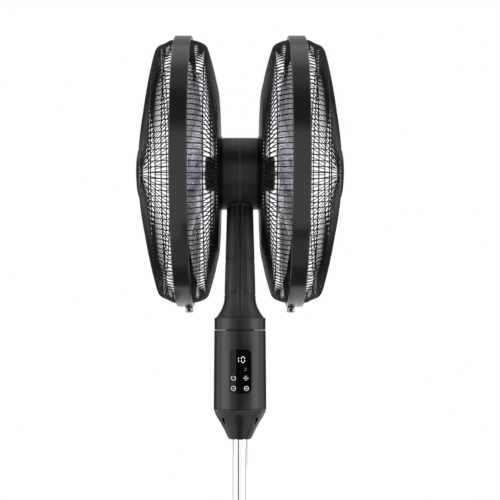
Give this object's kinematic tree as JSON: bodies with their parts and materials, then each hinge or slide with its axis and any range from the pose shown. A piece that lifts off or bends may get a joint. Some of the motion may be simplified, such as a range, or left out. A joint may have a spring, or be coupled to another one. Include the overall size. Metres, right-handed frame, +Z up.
{
  "type": "dual-head pedestal fan",
  "caption": "Free-standing fan with opposed caged heads on one swivelling neck, over a touch control column, a sliding chrome pole and a round floor base.",
  "frame": {"origin": "on the floor under the pole's axis", "axes": "+Z up along the pole, the control panel faces -Y, the heads blow towards -X and +X"},
  "size_m": [0.34, 0.416, 1.1879],
  "materials": {
    "charcoal_plastic": "fine satin moulding",
    "barrel_plastic": "satin black moulding",
    "ring_plastic": "satin-gloss charcoal moulding",
    "black_plastic": "satin black moulding",
    "panel_gloss": "polished black window with white marks",
    "cage_wire": "gloss black coated wire",
    "blade_plastic": "tinted translucent moulding",
    "chrome_tube": "polished chrome plate",
    "zinc_steel": "zinc plated fasteners",
    "motor_steel": "bare machined steel",
    "weight_steel": "cast ballast disc",
    "copper_winding": "varnished copper coils on steel",
    "white_nylon": "natural nylon",
    "circuit_board": "green circuit board",
    "foot_rubber": "soft rubber"
  },
  "bodies": {
    "stand": {"base_plate": "black_plastic", "base_feet": "foot_rubber", "base_weight": "weight_steel", "base_cover": "charcoal_plastic", "base_screws": "zinc_steel", "pole_bolts": "zinc_steel", "outer_pole": "chrome_tube", "pole_bush": "black_plastic"},
    "lock_ring": {"lock_collar": "charcoal_plastic"},
    "column": {"inner_pole": "chrome_tube", "pole_glide": "white_nylon", "lower_cone": "charcoal_plastic", "pole_screw": "zinc_steel", "control_housing": "charcoal_plastic", "power_inlet": "black_plastic", "panel_lens": "panel_gloss", "display_board": "circuit_board", "control_board": "circuit_board", "board_screws": "zinc_steel", "stepper_motor": "motor_steel", "stepper_screws": "zinc_steel", "swivel_washer": "white_nylon"},
    "pinion": {"drive_pinion": "white_nylon"},
    "head": {"swivel_collar": "charcoal_plastic", "swivel_gear": "white_nylon", "swivel_clip": "zinc_steel", "neck_screws": "zinc_steel", "neck": "charcoal_plastic", "barrel_screws": "zinc_steel", "left_barrel_half": "barrel_plastic", "left_motor_case": "black_plastic", "left_stator": "copper_winding", "left_motor_screws": "zinc_steel", "left_bearings": "motor_steel", "left_lock_nut": "black_plastic", "left_rear_grille": "cage_wire", "left_front_grille": "cage_wire", "left_guard_ring": "ring_plastic", "left_clamp_screw": "zinc_steel", "left_front_cap": "black_plastic", "right_barrel_half": "barrel_plastic", "right_motor_case": "black_plastic", "right_stator": "copper_winding", "right_motor_screws": "zinc_steel", "right_bearings": "motor_steel", "right_lock_nut": "black_plastic", "right_rear_grille": "cage_wire", "right_front_grille": "cage_wire", "right_guard_ring": "ring_plastic", "right_clamp_screw": "zinc_steel", "right_front_cap": "black_plastic"},
    "left_rotor": {"left_motor_shaft": "motor_steel", "left_rotor_core": "motor_steel", "left_fan_blades": "blade_plastic", "left_spinner": "blade_plastic"},
    "right_rotor": {"right_motor_shaft": "motor_steel", "right_rotor_core": "motor_steel", "right_fan_blades": "blade_plastic", "right_spinner": "blade_plastic"}
  },
  "joints": [
    {"name": "height_slide", "type": "slide", "parent": "stand", "child": "column", "axis": [0, 0, 1], "range_m": [-0.13, 0.15]},
    {"name": "lock_twist", "type": "hinge", "parent": "stand", "child": "lock_ring", "pos_m": [0, 0, 0.395], "axis": [0, 0, 1], "range_deg": [0, 90]},
    {"name": "oscillation", "type": "hinge", "parent": "column", "child": "head", "pos_m": [0, 0, 0.728], "axis": [0, 0, 1], "range_deg": [-60, 60]},
    {"name": "pinion_spin", "type": "hinge", "parent": "column", "child": "pinion", "pos_m": [0, 0.0288, 0.713], "axis": [0, 0, 1], "range_deg": [-301, 301]},
    {"name": "left_rotor_spin", "type": "hinge", "parent": "head", "child": "left_rotor", "pos_m": [-0.05, 0, 0.98], "axis": [-1, 0, 0], "continuous": true},
    {"name": "right_rotor_spin", "type": "hinge", "parent": "head", "child": "right_rotor", "pos_m": [0.05, 0, 0.98], "axis": [1, 0, 0], "continuous": true}
  ],
  "couplings": [
    {"joint": "pinion_spin", "follows": "oscillation", "ratio": -5}
  ]
}
